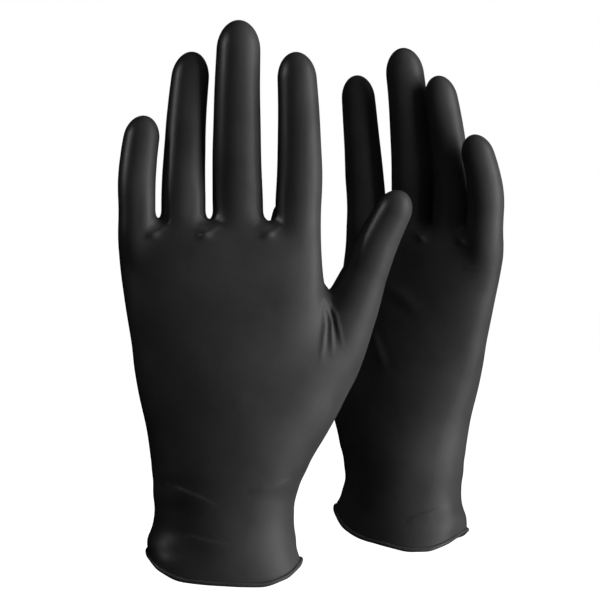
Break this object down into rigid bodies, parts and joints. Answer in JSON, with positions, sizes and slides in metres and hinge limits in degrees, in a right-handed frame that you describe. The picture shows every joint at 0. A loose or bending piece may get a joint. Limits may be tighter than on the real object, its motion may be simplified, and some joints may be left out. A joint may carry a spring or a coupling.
{
  "type": "pair of disposable gloves",
  "caption": "Pair of thin black dipped gloves with smooth closed finger stalls, separate thumbs and a beaded cuff, filled out as worn, to keep hands clean.",
  "frame": {"origin": "centre of the right glove's cuff opening, at the mean height of its hem", "axes": "+Z along the fingers, palm of the right glove towards -Y, its thumb towards +X"},
  "size_m": [0.1751, 0.1931, 0.2429],
  "materials": {
    "film": "satin black dipped film",
    "bead": "satin black rolled edge"
  },
  "bodies": {
    "right_hand": {"right_palm_and_cuff": "film", "right_cuff_bead": "bead", "right_thumb_band": "film", "right_index_band": "film", "right_middle_band": "film", "right_ring_band": "film", "right_little_band": "film"},
    "right_thumb": {"right_thumb_stall": "film"},
    "right_index": {"right_index_stall": "film"},
    "right_middle": {"right_middle_stall": "film"},
    "right_ring": {"right_ring_stall": "film"},
    "right_little": {"right_little_stall": "film"},
    "left_hand": {"left_palm_and_cuff": "film", "left_cuff_bead": "bead", "left_thumb_band": "film", "left_index_band": "film", "left_middle_band": "film", "left_ring_band": "film", "left_little_band": "film"},
    "left_thumb": {"left_thumb_stall": "film"},
    "left_index": {"left_index_stall": "film"},
    "left_middle": {"left_middle_stall": "film"},
    "left_ring": {"left_ring_stall": "film"},
    "left_little": {"left_little_stall": "film"}
  },
  "joints": [
    {"name": "right_thumb_bend", "type": "hinge", "parent": "right_hand", "child": "right_thumb", "pos_m": [0.061, 0.007, 0.126], "axis": [0.6257, -0.7111, -0.3208], "range_deg": [-15, 45], "stiffness_Nm_per_rad": 0.002, "deforming": ["right_thumb_band"]},
    {"name": "right_index_bend", "type": "hinge", "parent": "right_hand", "child": "right_index", "pos_m": [0.0324, 0, 0.1585], "axis": [0.9997, 0, -0.0262], "range_deg": [-15, 75], "stiffness_Nm_per_rad": 0.002, "deforming": ["right_index_band"]},
    {"name": "right_middle_bend", "type": "hinge", "parent": "right_hand", "child": "right_middle", "pos_m": [0.0058, 0.0015, 0.1585], "axis": [0.9998, 0, 0.0175], "range_deg": [-15, 75], "stiffness_Nm_per_rad": 0.002, "deforming": ["right_middle_band"]},
    {"name": "right_ring_bend", "type": "hinge", "parent": "right_hand", "child": "right_ring", "pos_m": [-0.0174, 0.0005, 0.1585], "axis": [1, 0, 0], "range_deg": [-15, 75], "stiffness_Nm_per_rad": 0.002, "deforming": ["right_ring_band"]},
    {"name": "right_little_bend", "type": "hinge", "parent": "right_hand", "child": "right_little", "pos_m": [-0.0375, -0.003, 0.1585], "axis": [1, 0, -0.0087], "range_deg": [-15, 75], "stiffness_Nm_per_rad": 0.002, "deforming": ["right_little_band"]},
    {"name": "left_thumb_bend", "type": "hinge", "parent": "left_hand", "child": "left_thumb", "pos_m": [0.02756, 0.15647, 0.12872], "axis": [0.9127, 0.1993, 0.3568], "range_deg": [-15, 45], "stiffness_Nm_per_rad": 0.002, "deforming": ["left_thumb_band"]},
    {"name": "left_index_bend", "type": "hinge", "parent": "left_hand", "child": "left_index", "pos_m": [0.06507, 0.14304, 0.15886], "axis": [0.8096, -0.587, 0.0001], "range_deg": [-15, 75], "stiffness_Nm_per_rad": 0.002, "deforming": ["left_index_band"]},
    {"name": "left_middle_bend", "type": "hinge", "parent": "left_hand", "child": "left_middle", "pos_m": [0.08743, 0.12862, 0.15742], "axis": [0.807, -0.5878, -0.0566], "range_deg": [-15, 75], "stiffness_Nm_per_rad": 0.002, "deforming": ["left_middle_band"]},
    {"name": "left_ring_bend", "type": "hinge", "parent": "left_hand", "child": "left_ring", "pos_m": [0.10557, 0.11418, 0.15624], "axis": [0.8081, -0.5877, -0.0391], "range_deg": [-15, 75], "stiffness_Nm_per_rad": 0.002, "deforming": ["left_ring_band"]},
    {"name": "left_little_bend", "type": "hinge", "parent": "left_hand", "child": "left_little", "pos_m": [0.11974, 0.09953, 0.15533], "axis": [0.8061, -0.5877, -0.0696], "range_deg": [-15, 75], "stiffness_Nm_per_rad": 0.002, "deforming": ["left_little_band"]},
    {"name": "left_glove_move", "type": "slide", "parent": "right_hand", "child": "left_hand", "axis": [1, 0, 0], "range_m": [0, 0.1]}
  ]
}
